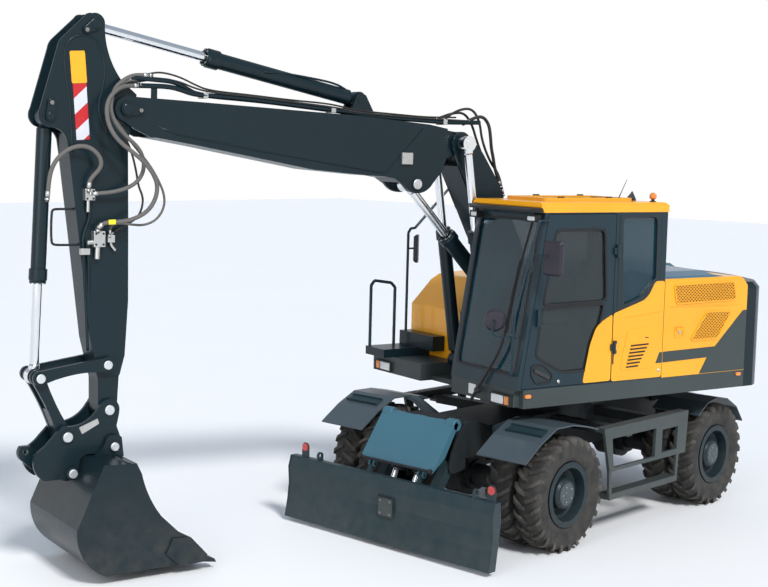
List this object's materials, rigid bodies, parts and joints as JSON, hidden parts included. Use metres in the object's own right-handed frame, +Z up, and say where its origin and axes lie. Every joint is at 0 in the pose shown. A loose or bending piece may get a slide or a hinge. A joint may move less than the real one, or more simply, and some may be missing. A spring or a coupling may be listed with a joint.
{
  "type": "wheeled excavator",
  "caption": "Wheeled excavator with a swinging upper structure, cab, two-piece boom, arm, bucket on a coupler, twin tyres and a front blade on a parallelogram.",
  "frame": {"origin": "on the ground under the middle of the outline, at rest", "axes": "+X forward along the undercarriage, +Y to its left, +Z up"},
  "size_m": [7.5588, 3.4377, 4.6295],
  "materials": {
    "black_paint": "satin black paint",
    "cab_paint": "satin blue-grey paint",
    "cast": "painted castings",
    "dark_paint": "satin dark blue-grey paint",
    "glass": "clear, lightly tinted",
    "grey_paint": "satin dark grey paint",
    "lamp": "clear lens",
    "plastic": "matt",
    "rim_paint": "satin grey paint",
    "rod_chrome": "polished",
    "seat_cloth": "matt",
    "tyre": "matt",
    "yellow_paint": "glossy yellow paint"
  },
  "bodies": {
    "undercarriage": {"chassis": "dark_paint", "front_axle": "black_paint", "rear_axle": "black_paint", "fenders": "grey_paint", "step_left": "grey_paint", "step_right": "grey_paint"},
    "knuckle_left": {"knuckle_left": "black_paint"},
    "knuckle_right": {"knuckle_right": "black_paint"},
    "steering_rod": {"steering_rod": "black_paint"},
    "wheels_front_left": {"tyres_front_left": "tyre", "rims_front_left": "rim_paint"},
    "wheels_front_right": {"tyres_front_right": "tyre", "rims_front_right": "rim_paint"},
    "wheels_rear_left": {"tyres_rear_left": "tyre", "rims_rear_left": "rim_paint"},
    "wheels_rear_right": {"tyres_rear_right": "tyre", "rims_rear_right": "rim_paint"},
    "blade_arms": {"blade_arms": "dark_paint"},
    "blade": {"blade": "dark_paint"},
    "blade_cover": {"blade_cover": "cab_paint"},
    "blade_barrels": {"blade_barrels": "dark_paint"},
    "blade_rods": {"blade_rods": "rod_chrome"},
    "upper": {"upper_frame": "dark_paint", "counterweight": "dark_paint", "house_left": "yellow_paint", "house_right": "yellow_paint", "hood": "dark_paint", "engine": "cast", "cab_frame": "cab_paint", "cab_roof": "yellow_paint", "cab_glass": "glass", "seat": "seat_cloth", "steering_column": "plastic", "right_steps": "dark_paint", "handrails": "black_paint", "lamps": "lamp", "visor": "plastic", "mirrors": "plastic"},
    "cab_door": {"cab_door": "cab_paint", "door_glass": "glass"},
    "lower_boom": {"lower_boom": "dark_paint"},
    "upper_boom": {"upper_boom": "dark_paint"},
    "arm": {"arm": "dark_paint"},
    "guide_link": {"guide_link": "dark_paint"},
    "link": {"link": "dark_paint"},
    "bucket": {"coupler": "dark_paint", "bucket": "dark_paint"},
    "boom_barrels": {"boom_barrels": "dark_paint"},
    "boom_rods": {"boom_rods": "rod_chrome"},
    "adjust_barrel": {"adjust_barrel": "dark_paint"},
    "adjust_rod": {"adjust_rod": "rod_chrome"},
    "arm_barrel": {"arm_barrel": "dark_paint"},
    "arm_rod": {"arm_rod": "rod_chrome"},
    "bucket_barrel": {"bucket_barrel": "dark_paint"},
    "bucket_rod": {"bucket_rod": "rod_chrome"}
  },
  "joints": [
    {"name": "swing", "type": "hinge", "parent": "undercarriage", "child": "upper", "pos_m": [-1.59, 0.115, 1.262], "axis": [0, 0, 1], "continuous": true},
    {"name": "front_left_spin", "type": "hinge", "parent": "knuckle_left", "child": "wheels_front_left", "pos_m": [-0.29, 1.076, 0.527], "axis": [0, 1, 0], "continuous": true},
    {"name": "front_right_spin", "type": "hinge", "parent": "knuckle_right", "child": "wheels_front_right", "pos_m": [-0.29, -0.846, 0.527], "axis": [0, 1, 0], "continuous": true},
    {"name": "rear_left_spin", "type": "hinge", "parent": "undercarriage", "child": "wheels_rear_left", "pos_m": [-2.89, 1.076, 0.527], "axis": [0, 1, 0], "continuous": true},
    {"name": "rear_right_spin", "type": "hinge", "parent": "undercarriage", "child": "wheels_rear_right", "pos_m": [-2.89, -0.846, 0.527], "axis": [0, 1, 0], "continuous": true},
    {"name": "steer_left", "type": "hinge", "parent": "undercarriage", "child": "knuckle_left", "pos_m": [-0.29, 0.675, 0.527], "axis": [0, 0, 1], "range_deg": [-25, 25]},
    {"name": "steer_right", "type": "hinge", "parent": "undercarriage", "child": "knuckle_right", "pos_m": [-0.29, -0.445, 0.527], "axis": [0, 0, 1], "range_deg": [-25.2, 25.2]},
    {"name": "steering_rod_slide", "type": "slide", "parent": "undercarriage", "child": "steering_rod", "axis": [0, 1, 0], "range_m": [-0.08129, 0.08129]},
    {"name": "boom_lift", "type": "hinge", "parent": "upper", "child": "lower_boom", "pos_m": [-1.29778, -0.038, 1.98], "axis": [-0.2351, -0.972, 0], "range_deg": [-55, 12]},
    {"name": "boom_cylinder_pivot", "type": "hinge", "parent": "upper", "child": "boom_barrels", "pos_m": [-0.73405, -0.17438, 1.5], "axis": [-0.2351, -0.972, 0], "range_deg": [-51.4, 11.37]},
    {"name": "boom_rod_slide", "type": "slide", "parent": "boom_barrels", "child": "boom_rods", "axis": [0.1511, -0.0366, 0.9878], "range_m": [-0.68745, 0.15077]},
    {"name": "boom_adjust", "type": "hinge", "parent": "lower_boom", "child": "upper_boom", "pos_m": [-0.40358, -0.25433, 3.66], "axis": [0.2351, 0.972, 0], "range_deg": [-12, 40]},
    {"name": "adjust_cylinder_pivot", "type": "hinge", "parent": "lower_boom", "child": "adjust_barrel", "pos_m": [-0.92844, -0.12736, 2.19], "axis": [0.2351, 0.972, 0], "range_deg": [-3.12, 1.08]},
    {"name": "adjust_rod_slide", "type": "slide", "parent": "adjust_barrel", "child": "adjust_rod", "axis": [0.6759, -0.1635, 0.7187], "range_m": [-0.42459, 0.12808]},
    {"name": "arm_swing", "type": "hinge", "parent": "upper_boom", "child": "arm", "pos_m": [2.93025, -1.06087, 3.868], "axis": [-0.2351, -0.972, 0], "range_deg": [-29, 77]},
    {"name": "arm_cylinder_pivot", "type": "hinge", "parent": "upper_boom", "child": "arm_barrel", "pos_m": [0.65586, -0.51064, 4.035], "axis": [-0.2351, -0.972, 0], "range_deg": [-1.41, 3.41]},
    {"name": "arm_rod_slide", "type": "slide", "parent": "arm_barrel", "child": "arm_rod", "axis": [0.9542, -0.2308, 0.1905], "range_m": [-0.86771, 0.32742]},
    {"name": "bucket_curl", "type": "hinge", "parent": "arm", "child": "bucket", "pos_m": [3.05466, -1.09097, 1.374], "axis": [-0.2351, -0.972, 0], "range_deg": [-60, 80]},
    {"name": "guide_link_pivot", "type": "hinge", "parent": "arm", "child": "guide_link", "pos_m": [3.07798, -1.09661, 1.757], "axis": [-0.2351, -0.972, 0], "range_deg": [-46.27, 61.63]},
    {"name": "link_pivot", "type": "hinge", "parent": "guide_link", "child": "link", "pos_m": [3.63978, -1.23252, 1.682], "axis": [-0.2351, -0.972, 0], "range_deg": [-41.08, 30.86]},
    {"name": "bucket_cylinder_pivot", "type": "hinge", "parent": "arm", "child": "bucket_barrel", "pos_m": [3.5523, -1.21136, 3.79], "axis": [-0.2351, -0.972, 0], "range_deg": [-0.72, 0.89]},
    {"name": "bucket_rod_slide", "type": "slide", "parent": "bucket_barrel", "child": "bucket_rod", "axis": [0.0415, -0.01, -0.9991], "range_m": [-0.55384, 0.41563]},
    {"name": "blade_lift", "type": "hinge", "parent": "undercarriage", "child": "blade_arms", "pos_m": [0.345, 0.115, 0.73], "axis": [0, -1, 0], "range_deg": [-22, 46]},
    {"name": "blade_level", "type": "hinge", "parent": "blade_arms", "child": "blade", "pos_m": [0.66, 0.115, 0.3], "axis": [0, -1, 0], "range_deg": [-46.2, 22.2]},
    {"name": "blade_cover_pivot", "type": "hinge", "parent": "undercarriage", "child": "blade_cover", "pos_m": [0.35, 0.115, 1.12], "axis": [0, -1, 0], "range_deg": [-22.2, 46.2]},
    {"name": "blade_cylinder_pivot", "type": "hinge", "parent": "undercarriage", "child": "blade_barrels", "pos_m": [0.355, 0.115, 1.01], "axis": [0, -1, 0], "range_deg": [-20.18, 41.98]},
    {"name": "blade_rod_slide", "type": "slide", "parent": "blade_barrels", "child": "blade_rods", "axis": [0.4338, 0, -0.901], "range_m": [-0.08667, 0.04197]},
    {"name": "cab_door", "type": "hinge", "parent": "upper", "child": "cab_door", "pos_m": [-1.02894, 1.2859, 2.25], "axis": [0, 0, 1], "range_deg": [0, 165]}
  ],
  "couplings": [
    {"joint": "steer_right", "follows": "steer_left", "ratio": 1},
    {"joint": "steering_rod_slide", "follows": "steer_left", "m_per_rad": -0.184},
    {"joint": "boom_cylinder_pivot", "follows": "boom_lift", "ratio": 0.93083},
    {"joint": "boom_rod_slide", "follows": "boom_lift", "m_per_rad": 0.71511},
    {"joint": "adjust_cylinder_pivot", "follows": "boom_adjust", "ratio": -0.07304},
    {"joint": "adjust_rod_slide", "follows": "boom_adjust", "m_per_rad": -0.60675},
    {"joint": "arm_cylinder_pivot", "follows": "arm_swing", "ratio": 0.04166},
    {"joint": "arm_rod_slide", "follows": "arm_swing", "m_per_rad": -0.64492},
    {"joint": "guide_link_pivot", "follows": "bucket_curl", "ratio": 0.76789},
    {"joint": "link_pivot", "follows": "bucket_curl", "ratio": -0.51095},
    {"joint": "bucket_cylinder_pivot", "follows": "bucket_curl", "ratio": 0.00861},
    {"joint": "bucket_rod_slide", "follows": "bucket_curl", "m_per_rad": -0.39594},
    {"joint": "blade_level", "follows": "blade_lift", "ratio": -1},
    {"joint": "blade_cover_pivot", "follows": "blade_lift", "ratio": 1},
    {"joint": "blade_cylinder_pivot", "follows": "blade_lift", "ratio": 0.90824},
    {"joint": "blade_rod_slide", "follows": "blade_lift", "m_per_rad": -0.1067}
  ]
}
